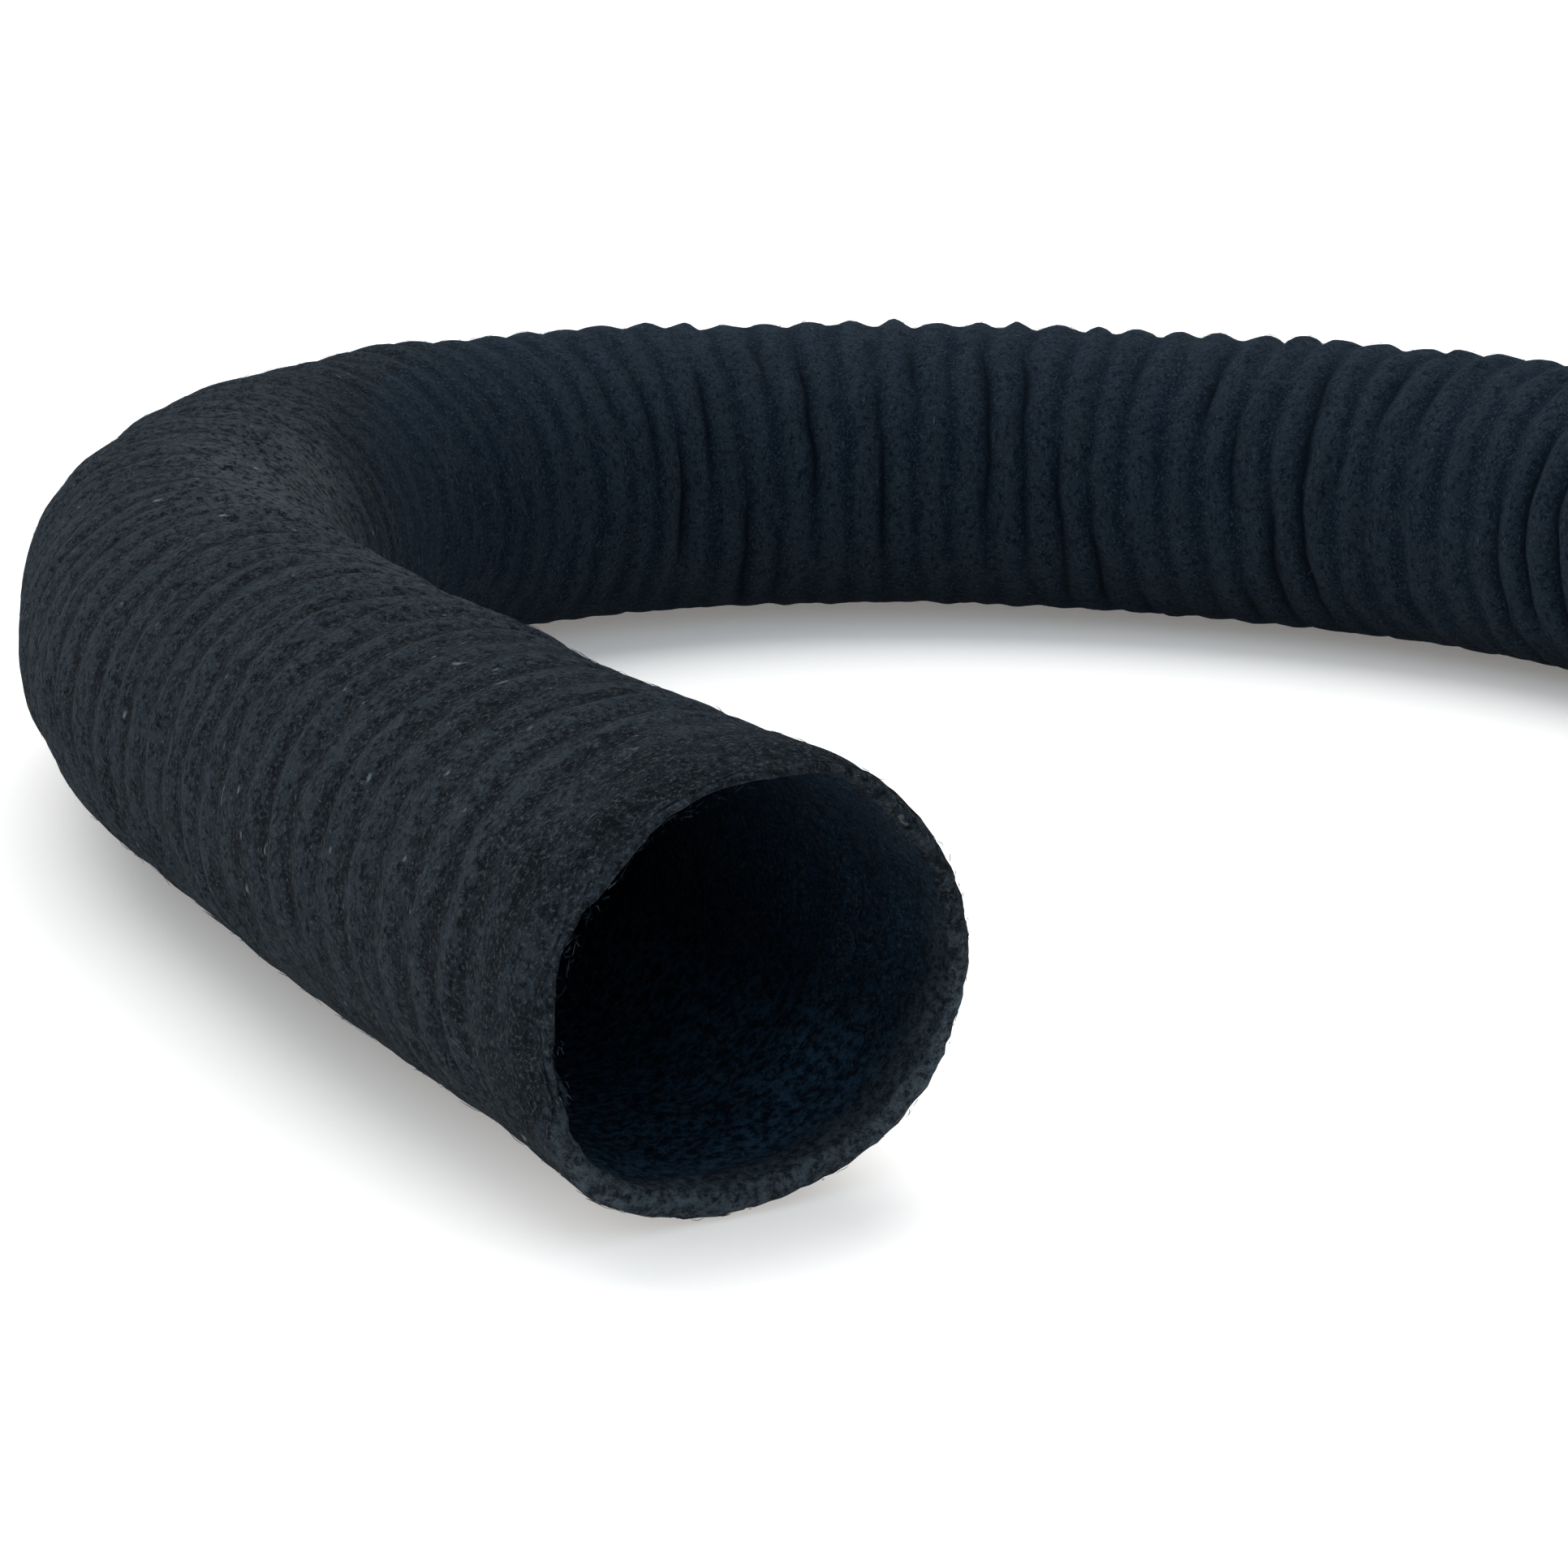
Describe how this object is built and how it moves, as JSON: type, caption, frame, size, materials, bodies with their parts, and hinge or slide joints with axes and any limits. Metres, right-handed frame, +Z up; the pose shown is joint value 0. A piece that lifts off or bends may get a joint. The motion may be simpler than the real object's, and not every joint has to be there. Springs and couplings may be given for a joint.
{
  "type": "heater ducting hose",
  "caption": "Flexible ribbed cloth duct hose for warm or fresh air, open at both ends, lying on the ground in a loose hook.",
  "frame": {"origin": "middle of the hose's bounding box, on the ground that it lies on", "axes": "+X to the right and +Y away from the viewer as pictured, +Z up"},
  "size_m": [0.3607, 0.4959, 0.0552],
  "materials": {
    "felted_cloth": "matt"
  },
  "bodies": {
    "root": {"duct_hose": "felted_cloth"}
  },
  "joints": []
}
